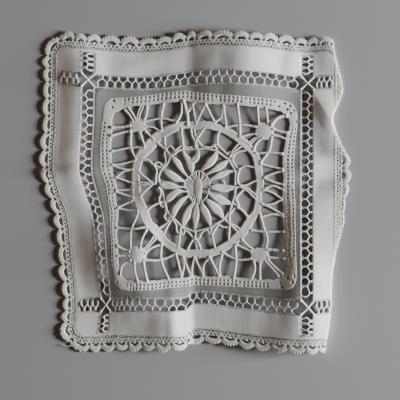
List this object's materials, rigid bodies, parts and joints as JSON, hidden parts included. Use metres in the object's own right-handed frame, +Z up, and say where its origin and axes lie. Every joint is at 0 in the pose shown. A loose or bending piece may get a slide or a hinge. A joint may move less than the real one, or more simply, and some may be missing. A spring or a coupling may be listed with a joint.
{
  "type": "lace-edged linen doily",
  "caption": "Square linen doily lying on a table, with a drawn-thread band, a needle-lace centre and a scalloped lace edging, its right edge turned under.",
  "frame": {"origin": "on the table under the middle of the laid outline", "axes": "+X to the right and +Y away from the viewer in the picture, +Z up off the table"},
  "size_m": [0.2318, 0.2408, 0.0068],
  "materials": {
    "linen": "plain-woven off-white linen, double at the hem",
    "centre_thread": "off-white linen thread, needle-woven",
    "edging_thread": "off-white cotton lace"
  },
  "bodies": {
    "root": {"linen_ground": "linen", "lace_centre": "centre_thread", "lace_edging": "edging_thread"}
  },
  "joints": []
}
